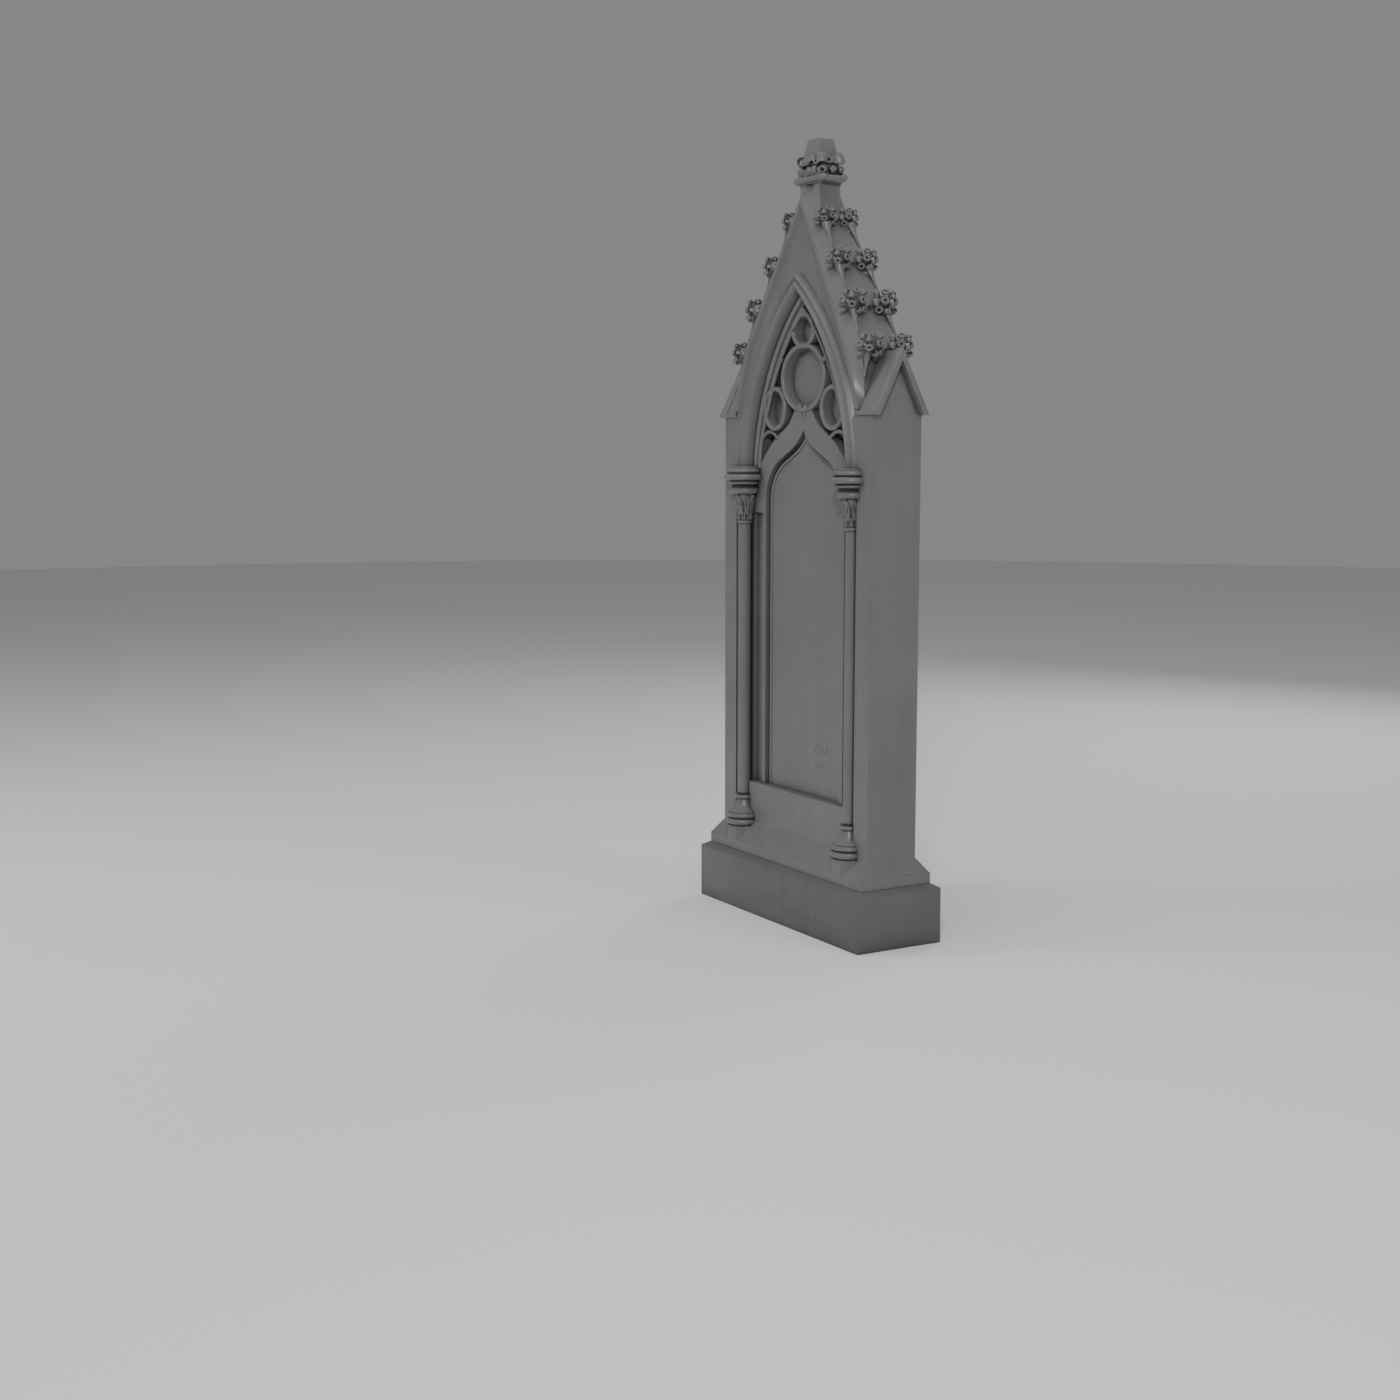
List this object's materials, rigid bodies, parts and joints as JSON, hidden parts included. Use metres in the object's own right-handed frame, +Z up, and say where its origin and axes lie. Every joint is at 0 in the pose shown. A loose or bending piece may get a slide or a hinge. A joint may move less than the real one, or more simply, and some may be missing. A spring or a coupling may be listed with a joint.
{
  "type": "gothic headstone",
  "caption": "Upright gothic headstone on a plinth, with an arched niche, colonnettes, blind tracery and a crocketed spire broken off at its finial.",
  "frame": {"origin": "centre of the plinth's underside, on the ground", "axes": "+Z up, -Y out of the carved front, +X to the right as the front is faced"},
  "size_m": [0.6844, 0.2272, 1.8],
  "materials": {
    "carved_stone": "dressed and weathered dark grey stone",
    "plinth_stone": "plainly dressed dark grey stone",
    "shaft_stone": "turned and rubbed dark grey stone"
  },
  "bodies": {
    "root": {"base_plinth": "plinth_stone", "headstone_body": "carved_stone", "left_shaft": "shaft_stone", "right_shaft": "shaft_stone"}
  },
  "joints": []
}
